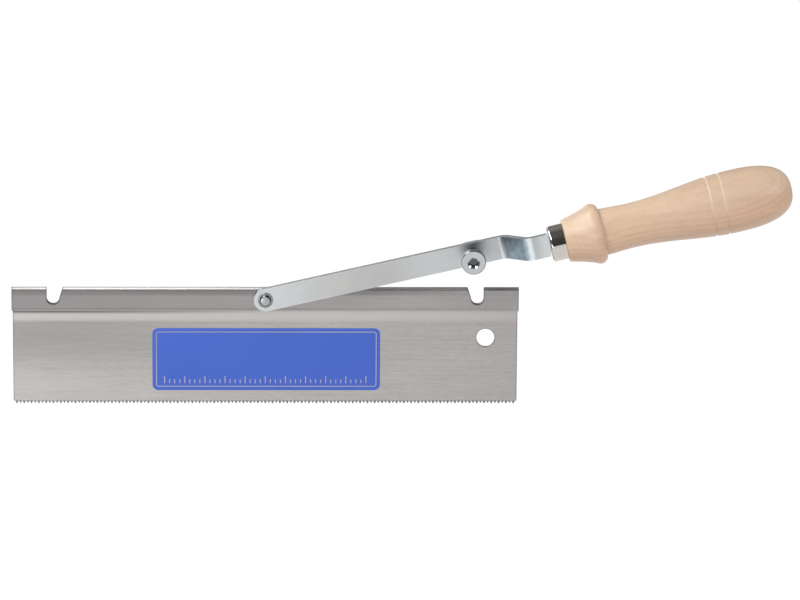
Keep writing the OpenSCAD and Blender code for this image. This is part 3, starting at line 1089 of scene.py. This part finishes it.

# %% [markdown]
# ## Blade steel and its blue panel
# The sheet is ground along its length, which leaves short fine streaks, and it is smoother and
# lighter in a band just under the back. Painted shade makes it a little darker towards the upper
# left, along the teeth and in the corner under the back's left half, and a thin line of painted
# shade follows its cut edges, at both ends and round the hanging hole. A blue panel is printed on the
# front: a plain field with round corners, a thin line left bare inside its edge and a row of ruler
# marks. A painted picture could hold all this, but it blurs close by. So the streaks are noise that
# is stretched along the length, and the panel is a distance from a rounded rectangle, which gives a
# clean edge at any scale.

# %% Lay out the panel
PANEL_MIDDLE = (0.5 * MM, 23 * MM)
PANEL_HALF = (56.5 * MM, 16 * MM)
PANEL_CORNER = 3 * MM
PANEL_EDGE = 0.06 * MM
KEYLINE_IN = 2.0 * MM
KEYLINE_HALF = 0.2 * MM
MARK_STEP = 2.5 * MM
MARK_HALF = 0.22 * MM
MARK_LONG = 4
MARK_FOOT = 10.6 * MM
MARK_SHORT_H = 2.0 * MM
MARK_LONG_H = 3.6 * MM
MARKS_HALF = 50 * MM


def panel_distance(x, z):
    """How far a point lies outside the panel's edge, or inside it where it is less than 0."""
    over_x = abs(x - PANEL_MIDDLE[0]) - (PANEL_HALF[0] - PANEL_CORNER)
    over_z = abs(z - PANEL_MIDDLE[1]) - (PANEL_HALF[1] - PANEL_CORNER)
    corner = (over_x.most(0.0) ** 2 + over_z.most(0.0) ** 2) ** 0.5
    return corner + over_x.most(over_z).least(0.0) - PANEL_CORNER


def ruler_marks(x, z):
    """1 on the row of marks, every fourth one longer, and 0 beside it."""
    along = x + MARKS_HALF
    on_mark = abs((along + MARK_STEP / 2) % MARK_STEP - MARK_STEP / 2) < MARK_HALF
    long_step = MARK_STEP * MARK_LONG
    on_long = abs((along + long_step / 2) % long_step - long_step / 2) < MARK_HALF
    height = z - MARK_FOOT
    tall_enough = (height < MARK_SHORT_H).most(on_long * (height < MARK_LONG_H))
    in_row = (abs(x) < MARKS_HALF + MARK_HALF) * (height > 0.0)
    return on_mark * tall_enough * in_row


print(f"panel {2 * PANEL_HALF[0] / MM:.0f} by {2 * PANEL_HALF[1] / MM:.0f} mm")

# %% Grind the steel
BAND_LOW, BAND_FULL = 41.4 * MM, 44.2 * MM
SHADE_UNDER_BACK_LOW, SHADE_UNDER_BACK_FULL = BACK_LOW.z - 2.1 * MM, BACK_LOW.z - 0.4 * MM


def ground_steel(nodes, x, z, grain, band):
    """The bare sheet: streaks, a lighter band, and painted shade at the upper left and under the back."""
    level = nodes.step(grain * (1 - band * 0.7), -0.25, 0.25)
    steel = nodes.mix(level, colour(158, 154, 151), colour(196, 191, 188))
    # painted shade: the sheet and its lighter band are darkened towards the upper left
    left = nodes.step(x, 60 * MM, -120 * MM)
    steel = nodes.mix(left * nodes.step(z, 8 * MM, 34 * MM) * 0.58, steel, colour(128, 124, 121))
    smooth = nodes.mix(left * 0.4, colour(192, 188, 185), colour(160, 156, 153))
    steel = nodes.mix(band * nodes.step(x, 140 * MM, 90 * MM, 0.4, 0.75), steel, smooth)
    # painted shade in the corner under the back, strongest under its left half
    corner = nodes.step(z, SHADE_UNDER_BACK_LOW, SHADE_UNDER_BACK_FULL)
    corner = corner * nodes.step(x, 20 * MM, -110 * MM, 0.05, 0.85)
    return nodes.mix(corner, steel, colour(84, 81, 80))


print(f"band from {BAND_LOW / MM:.1f} mm up")

# %% Darken the edges
CUT_LINE = 0.6 * MM
PAINTED_EDGE_SHADE = colour(92, 90, 88)


def cut_edge(nodes, distance):
    """1 along a cut edge, which is so far away, and 0 further in."""
    return nodes.step(distance, CUT_LINE, CUT_LINE / 3)


def dark_edges(nodes, x, z, steel):
    """The sheet with painted shade on the teeth and in a thin line at both ends and round the hanging hole."""
    # painted shade: the teeth are darkened
    teeth = nodes.step(z, TOOTH_DEPTH * 1.15, TOOTH_DEPTH * 0.85)
    steel = nodes.mix(teeth * 0.75, steel, PAINTED_EDGE_SHADE)
    hole_x, _, hole_z = HANGING["pos_m"]
    round_hole = ((x - hole_x) ** 2 + (z - hole_z) ** 2) ** 0.5 - HANGING_R
    # painted shade: a thin dark line along the cut ends and round the hanging hole
    cut = cut_edge(nodes, round_hole.least(BLADE_HIGH.x - abs(x)))
    return nodes.mix(cut * 0.6, steel, PAINTED_EDGE_SHADE)


print(f"cut edges are dark for {CUT_LINE / MM:.1f} mm")

# %% Finish the blade


def finish_blade():
    """Ground steel with its dark edges and the printed panel."""
    nodes = finish("blade_steel")
    point = nodes.place()
    x, y, z = nodes.parts(point)
    streaks = nodes.noise(point, (230, 400, 3200), 4.0, 0.65)
    long_streaks = nodes.noise(point, (25, 400, 900), 3.0)
    cloud = nodes.noise(point, (22, 22, 30), 2.0)
    grain = (streaks - 0.5) * 0.5 + (long_streaks - 0.5) * 0.26 + (cloud - 0.5) * 0.1
    band = nodes.step(z, BAND_LOW, BAND_FULL)
    steel = dark_edges(nodes, x, z, ground_steel(nodes, x, z, grain, band))
    distance = panel_distance(x, z)
    inside = nodes.step(distance, PANEL_EDGE, -PANEL_EDGE)
    keyline = abs(distance + KEYLINE_IN) < KEYLINE_HALF
    worn = nodes.step(streaks + cloud * 0.2, 0.84, 0.9)
    ink = inside * (1 - keyline) * (1 - ruler_marks(x, z)) * (y < 0.0) * (1 - worn * 0.6)
    blue = nodes.mix(cloud, colour(52, 88, 184), colour(62, 97, 194))
    paint(
        nodes,
        base_color=nodes.mix(ink, steel, blue),
        metallic=1 - ink,
        roughness=nodes.step(streaks, 0.2, 0.8, 0.34, 0.46) - band * 0.06 + ink * 0.12,
        normal=nodes.bump(streaks * (1 - band * 0.8) + ink * 0.4, 0.012 * MM, 0.5),
    )


finish_blade()

# %% [markdown]
# ## Back steel
# The back is rolled strip, darker and more even than the blade, and painted shade makes it darkest
# at its left end. A painted shade lies under the fold, and a thin line of painted shade follows the
# cut edges, round the notches and at both ends. Low down there is a faint dark line of painted shade,
# as in a crease, and below it a narrow painted highlight where the lower edge catches the light, and
# both fade to the right. These marks could be painted by hand, but each keeps a distance from an
# edge, so they are placed by height or by the notch's shape and move with the sizes.

# %% Finish the back
CREASE_SHADE_AT = 1.15 * MM
FOOT_HIGHLIGHT_AT = 0.6 * MM


def notch_distance(x, z):
    """How far a point lies from the wall of the nearer notch."""
    above = (z - PIVOT_Z).most(0.0)
    below = (z - PIVOT_Z).least(0.0)
    flare = above * (NOTCH_FLARE / 2 / (BACK_HIGH.z - PIVOT_Z))
    across = abs(x) - CLAMP_R + flare
    return (across**2 + below**2) ** 0.5 - NOTCH_R - flare


def finish_back():
    """Rolled steel with painted shade under the fold, at cut edges and low down, and a painted highlight."""
    nodes = finish("back_steel")
    point = nodes.place()
    x, _, z = nodes.parts(point)
    rolled = nodes.noise(point, (30, 300, 1500), 3.0)
    fine = nodes.noise(point, (500, 500, 3000), 3.0)
    cloud = nodes.noise(point, (16, 60, 60), 2.0)
    level = nodes.step((rolled - 0.5) * 0.5 + (fine - 0.5) * 0.35 + (cloud - 0.5) * 0.5, -0.25, 0.25)
    steel = nodes.mix(level, colour(158, 154, 153), colour(178, 174, 173))
    # painted shade: the back is darkened towards its left end
    steel = nodes.mix(nodes.step(x, 110 * MM, -120 * MM) * 0.66, steel, colour(126, 122, 122))
    under_fold = FOLD_Z - z
    shade = nodes.step(under_fold, 3.0 * MM, 1.2 * MM) * nodes.step(under_fold, -0.6 * MM, -0.2 * MM)
    shade = shade * nodes.step(x, 125 * MM, 40 * MM, 0.15, 1.0)
    steel = nodes.mix(shade * 0.6, steel, colour(112, 109, 109))
    # painted shade: a thin dark line round the notches and at both ends
    cut = cut_edge(nodes, notch_distance(x, z).least(BACK_HIGH.x - abs(x)))
    steel = nodes.mix(cut * 0.7, steel, colour(84, 81, 81))
    height = z - BACK_LOW.z
    sharp = nodes.step(x, 120 * MM, -40 * MM, 0.4, 1.0)
    # painted shade: a faint dark line low on the back, as in a crease, fading to the right
    crease_shade = nodes.step(abs(height - CREASE_SHADE_AT), 0.5 * MM, 0.2 * MM) * sharp
    steel = nodes.mix(crease_shade * 0.35, steel, colour(96, 92, 92))
    # painted highlight: a narrow patchy bright line just above the lower edge, fading to the right
    foot_highlight = nodes.step(abs(height - FOOT_HIGHLIGHT_AT), 0.35 * MM, 0.15 * MM) * sharp
    foot_highlight = foot_highlight * nodes.step(cloud + fine * 0.3, 0.4, 0.8, 0.6, 1.0)
    paint(
        nodes,
        base_color=nodes.mix(foot_highlight * 0.12, steel, colour(218, 215, 212)),
        metallic=1.0,
        roughness=nodes.step(rolled + fine * 0.4, 0.3, 1.0, 0.36, 0.46),
        normal=nodes.bump(rolled * 0.6 + fine * 0.4, 0.01 * MM, 0.4),
    )


finish_back()

# %% [markdown]
# ## Rivet steel
# The rivet and its washers are bright drawn steel, the washers a little duller, with a dark ring of
# painted shade round the slope of the head. The ring could be a groove in the mesh, but here it is
# only painted, at a distance from the axis.

# %% Finish the rivet
SLOPE_SHADE_R = 2.55 * MM


def finish_rivet():
    """Drawn steel, duller on the washers, with painted shade round the slope of the head."""
    nodes = finish("rivet_steel")
    point = nodes.place()
    x, _, z = nodes.parts(point)
    radius = (x**2 + (z - PIVOT_Z) ** 2) ** 0.5
    rub = nodes.noise(point, (700, 700, 700), 4.0)
    cloud = nodes.noise(point, (160, 160, 160), 2.0)
    steel = nodes.mix(cloud, colour(152, 154, 156), colour(178, 179, 180))
    outer = nodes.step(radius, RIVET_HEAD_R - 0.3 * MM, RIVET_HEAD_R)
    steel = nodes.mix(outer * 0.6, steel, colour(128, 128, 130))
    # painted shade: a dark ring round the slope of the head
    slope_shade = nodes.step(abs(radius - SLOPE_SHADE_R), 0.5 * MM, 0.2 * MM)
    paint(
        nodes,
        base_color=nodes.mix(slope_shade * 0.7, steel, colour(62, 62, 64)),
        metallic=1.0,
        roughness=nodes.step(rub, 0.25, 0.8, 0.16, 0.3),
        normal=nodes.bump(rub, 0.01 * MM, 0.35),
    )


finish_rivet()

# %% [markdown]
# ## Zinc plate
# The arm and the clamp plate are zinc plated, which shows as a cool, satin, slightly cloudy skin
# with fine rub marks, and a painted highlight along the edges. The middle of the arm is a little
# darker and warmer, the crank's slope carries a painted reflection with a mottled blue tinge, and a
# painted highlight makes the neck brightest. One even grey would be quicker, but on a long flat bar
# it looks painted. The pattern is worked out in the arm's own direction, so that a place on it is a
# length along the bar.

# %% Finish the zinc
EDGE_HIGHLIGHT_W = 0.4 * MM
DARK_MIDDLE_AT = 48 * MM
ZINC_HIGHLIGHT = colour(224, 228, 229)


def finish_zinc():
    """Zinc with clouds, rub marks, a darker middle, and painted light on slope, neck and edges."""
    nodes = finish("zinc_plate")
    point = nodes.moved(nodes.place(), ARM_FRAME)
    x, _, z = nodes.parts(point)
    cloud = nodes.noise(point, (40, 60, 60), 3.0)
    patch = nodes.noise(point, (140, 140, 140), 4.0, 0.6)
    rub = nodes.noise(point, (90, 900, 2400), 3.0)
    level = nodes.step((cloud - 0.5) * 0.7 + (patch - 0.5) * 0.2 + (rub - 0.5) * 0.2, -0.35, 0.35)
    zinc = nodes.mix(level, colour(183, 187, 188), colour(202, 205, 205))
    # the middle of the arm is a little darker and warmer
    dark_middle = nodes.step(abs(x - DARK_MIDDLE_AT), 40 * MM, 10 * MM)
    zinc = nodes.mix(dark_middle * 0.4, zinc, colour(174, 168, 163))
    # painted reflection: the crank's slope gets a mottled blue tint
    slope = nodes.step(x, FIRST_BEND.x + 2 * MM, FIRST_BEND.x + 5 * MM)
    slope = slope * nodes.step(x, SECOND_BEND.x - 1 * MM, SECOND_BEND.x - 5 * MM)
    mottle = nodes.step(nodes.noise(point, (300, 300, 300), 3.0), 0.3, 0.7)
    slope_reflection = nodes.mix(mottle, colour(168, 184, 191), colour(210, 228, 234))
    zinc = nodes.mix(slope * 0.75, zinc, slope_reflection)
    # painted highlight: the neck is lightened
    neck = nodes.step(x, SECOND_BEND.x, SECOND_BEND.x + 6 * MM)
    zinc = nodes.mix(neck * 0.85, zinc, ZINC_HIGHLIGHT)
    # painted highlight: a bright band along both long edges of the arm
    edge = nodes.step(abs(z), ARM_W / 2 - EDGE_HIGHLIGHT_W, ARM_W / 2 - EDGE_HIGHLIGHT_W / 4)
    paint(
        nodes,
        base_color=nodes.mix(edge * 0.5, zinc, ZINC_HIGHLIGHT),
        metallic=1.0,
        roughness=nodes.step(patch * 0.6 + rub * 0.4, 0.3, 0.7, 0.3, 0.37),
        normal=nodes.bump(patch * 0.7 + rub * 0.3, 0.006 * MM, 0.2),
    )


finish_zinc()

# %% [markdown]
# ## Bright plate
# The screw and its washer have a brighter plating, with painted shade round the rim of the head and
# deeper painted shade inside the socket. That shade could be a second material on the socket's
# faces, but then it would end at a hard line. It is placed by its depth behind the head's face
# instead, so that it sets in softly and the face itself stays clear of it.

# %% Finish the screw and its washer


def finish_bright():
    """Bright plating with painted shade round the rim of the head and in the socket."""
    nodes = finish("bright_plate")
    point = nodes.moved(nodes.place(), CLAMP_FRAME)
    x, y, z = nodes.parts(point)
    rub = nodes.noise(point, (500, 500, 500), 4.0)
    cloud = nodes.noise(point, (120, 120, 120), 2.0)
    depth = nodes.step(y, SCREW_LOW.y + 0.1 * MM, SCREW_LOW.y + 1.2 * MM)
    radius = (x**2 + z**2) ** 0.5
    # painted shade inside the socket, deeper behind the head's face
    socket_shade = depth * (radius < SOCKET_LEAD_R)
    plate = nodes.mix(cloud, colour(180, 183, 187), colour(198, 200, 203))
    # painted shade round the rounded rim of the head
    rim = nodes.step(abs(radius - HEAD_R + HEAD_SOFT / 2), HEAD_SOFT, HEAD_SOFT / 4)
    plate = nodes.mix(rim * 0.6, plate, colour(112, 114, 118))
    paint(
        nodes,
        base_color=nodes.mix(socket_shade * 0.85, plate, colour(62, 62, 66)),
        metallic=1.0,
        roughness=nodes.step(rub, 0.25, 0.8, 0.1, 0.2) + socket_shade * 0.12,
        normal=nodes.bump(rub, 0.006 * MM, 0.25),
    )


finish_bright()

# %% [markdown]
# ## Nickel
# The ferrule is polished nickel, warmer than the zinc and almost a mirror. A perfect mirror would
# be simpler, but it looks unreal. What one sees in the ferrule is the room, so its own pattern is
# slight: faint lines from drawing the cup, and smears that take off some of the gloss.

# %% Finish the ferrule


def finish_nickel():
    """Polished nickel with faint lines and smears."""
    nodes = finish("nickel_plate")
    point = nodes.moved(nodes.place(), HANDLE_FRAME)
    drawn = nodes.noise(point, (60, 1500, 1500), 3.0)
    smear = nodes.noise(point, (150, 150, 150), 2.0)
    paint(
        nodes,
        base_color=nodes.mix(smear, colour(192, 186, 179), colour(206, 200, 193)),
        metallic=1.0,
        roughness=nodes.step(smear + drawn * 0.3, 0.4, 0.9, 0.06, 0.13),
        normal=nodes.bump(drawn, 0.004 * MM, 0.25),
    )


finish_nickel()

# %% [markdown]
# ## Beech
# Steamed beech is pale and a little pink, with faint growth rings and many short brown flecks along
# the grain. A picture of wood could be wrapped round the handle, but it would stretch at the end
# and show a seam. So the pattern is a solid block that the lathe has cut into, worked out in the
# handle's own direction, as the grain runs: rings round a pith that lies well off the axis, and
# flecks stretched along the grain. A painted highlight makes the wood paler towards the top, and
# another lies on the upper half of each groove. A thin satin lacquer lies over it all.

# %% Finish the wood
PITH_Y, PITH_Z = 46 * MM, -58 * MM
RING_STEP = 2.6 * MM
RING_SWAY = 6 * MM
TOP_SHEEN_SWAY = 12 * MM


def finish_beech():
    """Beech with rings, figure, flecks and lacquer, and painted highlights on top and in the grooves."""
    nodes = finish("beech", coat_roughness=0.34)
    point = nodes.moved(nodes.place(), HANDLE_FRAME)
    x, y, z = nodes.parts(point)
    sway = nodes.noise(point, (14, 40, 40), 2.0)
    figure = nodes.noise(point, (22, 150, 150), 3.0, 0.6)
    radius = ((y - PITH_Y) ** 2 + (z - PITH_Z) ** 2) ** 0.5 + (sway - 0.5) * RING_SWAY
    ring_share = (radius / RING_STEP) % 1.0
    rings = nodes.step(ring_share, 0.35, 0.95) - nodes.step(ring_share, 0.95, 1.0)
    fibres = nodes.noise(point, (60, 1800, 1800), 3.0, 0.6)
    flecks = nodes.step(nodes.noise(point, (330, 2300, 2300), 2.0), 0.62, 0.72)
    tone = rings * 0.2 + (figure - 0.5) * 1.1 + (fibres - 0.5) * 0.7
    wood = nodes.mix(nodes.step(tone, -0.45, 0.75), colour(220, 187, 156), colour(197, 153, 125))
    # painted highlight: the upper side of the handle is paler
    top_sheen = nodes.step(z + (sway - 0.5) * TOP_SHEEN_SWAY, -5 * MM, 9 * MM)
    wood = nodes.mix(top_sheen * 0.35, wood, colour(216, 198, 173))
    wood = nodes.mix(flecks * 0.38, wood, colour(160, 116, 90))
    for groove in GROOVES_AT:
        # painted highlight on the upper half of each groove
        cut = nodes.step(abs(x - groove - FERRULE_LEN), GROOVE_W, GROOVE_W / 2)
        wood = nodes.mix(cut * nodes.step(z, -10 * MM, 4 * MM, 0.0, 0.5), wood, colour(236, 216, 190))
    paint(
        nodes,
        base_color=wood,
        roughness=nodes.step(fibres + flecks * 0.2, 0.25, 0.9, 0.38, 0.52),
        coat_weight=nodes.step(figure, 0.3, 0.7, 0.4, 0.5),
        normal=nodes.bump(fibres * 0.5 - flecks * 0.5, 0.03 * MM, 0.4),
    )


finish_beech()

# %% Put the finishes on
for piece in PIECES:
    piece.data.materials.clear()
    piece.data.materials.append(FINISHES[piece["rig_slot"]])
print("painted", len(PIECES), "pieces")

# %% [markdown]
# ## Studio
# The saw floats before a white sweep of paper, as in a catalogue. A picture of a studio could light
# it, but a room that is worked out from directions can be set one part at a time. It is white to
# the eye and dim to polished metal, most of all on the viewer's side, because a mirror needs
# something dark in it to look like metal. It is lighter behind the saw, with a bright backdrop low
# at the left for upper edges to mirror, and what metal sees below and at the left is tinted cool.
# The floor is a long strip of paper below the saw, which keeps a soft shadow. A large key lamp
# stands at the upper left. Three small lamps help it: one over the left half draws the bright line
# along the fold of the back, a low card at the left lights the bends of the arm, and one at the
# right rounds off the handle's end.

# %% Build the room
AMBIENT = 0.68
SIDE_LIGHT = 0.26
MIRROR_BELOW = 0.27
MIRROR_DROP = 0.21
BEHIND_GLOW = 0.2
BACKDROP_GLOW = 0.7
CEILING_GLOW = 0.07
LEFT_GLOW = 0.1
PLAIN_TINT = (1, 1, 1, 1)
COOL_TINT = (0.55, 1.02, 1.38, 1)


def ray_share(nodes, *kinds):
    """1 for rays of any of these kinds, and 0 for the rest."""
    path = nodes.node("LightPath")
    outputs = path.socket.node.outputs
    share = Value(nodes, outputs[kinds[0]])
    for kind in kinds[1:]:
        share = share.most(Value(nodes, outputs[kind]))
    return share


def white_room():
    """White to the camera, dim in front for mirrors, even for the rest. Directions run from -1 to 1."""
    world = bpy.data.worlds.new("studio")
    bpy.context.scene.world = world
    world.use_nodes = True
    nodes = Nodes(world.node_tree)
    x, y, up = nodes.parts(nodes.node("TexCoord", output="Generated"))
    above = nodes.step(up, -0.1, -0.04)
    behind = nodes.step(y, -0.1, 0.5)
    ceiling = nodes.step(up, 0.45, 1.0)
    left = nodes.step(x, -0.3, -0.7)
    backdrop = nodes.step(x, -0.1, -0.16) * nodes.step(up, 0.45, 0.3)
    sweep = behind * (backdrop * BACKDROP_GLOW + BEHIND_GLOW)
    mirrored = MIRROR_BELOW + above * (sweep + ceiling * CEILING_GLOW + left * LEFT_GLOW - MIRROR_DROP)
    seen = ray_share(nodes, "Is Camera Ray")
    glossy = ray_share(nodes, "Is Glossy Ray", "Is Transmission Ray")
    level = seen + (1 - seen) * (glossy * mirrored + (1 - glossy) * (x * SIDE_LIGHT + AMBIENT))
    tint = nodes.mix((1 - above).most(left * 0.6) * glossy, PLAIN_TINT, COOL_TINT)
    background = world.node_tree.nodes["Background"]
    nodes.feed(background.inputs["Strength"], level)
    nodes.feed(background.inputs["Color"], tint)
    print(f"room: {len(world.node_tree.nodes)} nodes")


white_room()

# %% Lay the floor
FLOOR_MIDDLE = (0.25, 0.0, -0.25)
FLOOR_HALF = (0.7, 5.0)
FLOOR_GREY = (0.56, 0.56, 0.56, 1)
FLOOR_WHITE = 0.7
FLOOR_GLOW = 1.28


def paper_floor():
    """A long strip of white paper below the saw."""
    deselect_all()
    bpy.ops.mesh.primitive_plane_add(size=2)
    floor = bpy.context.object
    floor.name = "paper_floor"
    place(floor, at(FLOOR_MIDDLE, None, (*FLOOR_HALF, 1)))
    material = bpy.data.materials.new("white_paper")
    material.use_nodes = True
    tree = material.node_tree
    nodes = Nodes(tree)
    tree.nodes.remove(tree.nodes["Principled BSDF"])
    matt = nodes.node("BsdfDiffuse", None, {"Color": FLOOR_GREY})
    white = nodes.node("Emission", None, {"Color": PLAIN_TINT, "Strength": FLOOR_GLOW})
    share = ray_share(nodes, "Is Camera Ray", "Is Glossy Ray", "Is Transmission Ray") * FLOOR_WHITE
    mixed = nodes.node("MixShader", None, {0: share, 1: matt, 2: white})
    nodes.feed(tree.nodes["Material Output"].inputs["Surface"], mixed)
    floor.data.materials.append(material)
    print(f"floor {-FLOOR_MIDDLE[2]} m below the teeth")


paper_floor()

# %% Set the lamps
LAMPS = {
    "key_lamp": ((-0.75, -1.0, 1.3), AIM, (0.8, 0.8), 4.8),
    "top_lamp": ((-0.09, -0.08, 0.3), (-0.09, -0.08, 0.0), (0.16, 0.4), 1.05),
    "low_card": ((-0.47, -0.9, -0.12), AIM, (0.85, 0.4), 2.3),
    "end_lamp": ((0.6, -0.4, 0.4), (0.25, 0.0, 0.1), (0.22, 0.22), 0.6),
}


def soft_lamp(name, location, target, size, watts):
    """A rectangular lamp that faces a point."""
    bpy.ops.object.light_add(type="AREA", location=location)
    lamp = bpy.context.object
    lamp.name = name
    lamp.data.shape = "RECTANGLE"
    lamp.data.size, lamp.data.size_y = size
    lamp.data.energy = watts
    lamp.rotation_mode = "QUATERNION"
    lamp.rotation_quaternion = (Vector(target) - Vector(location)).to_track_quat("-Z", "Y")


deselect_all()
for name, settings in LAMPS.items():
    soft_lamp(name, *settings)
bpy.context.scene.view_settings.view_transform = "Standard"
print("lamps:", ", ".join(LAMPS))
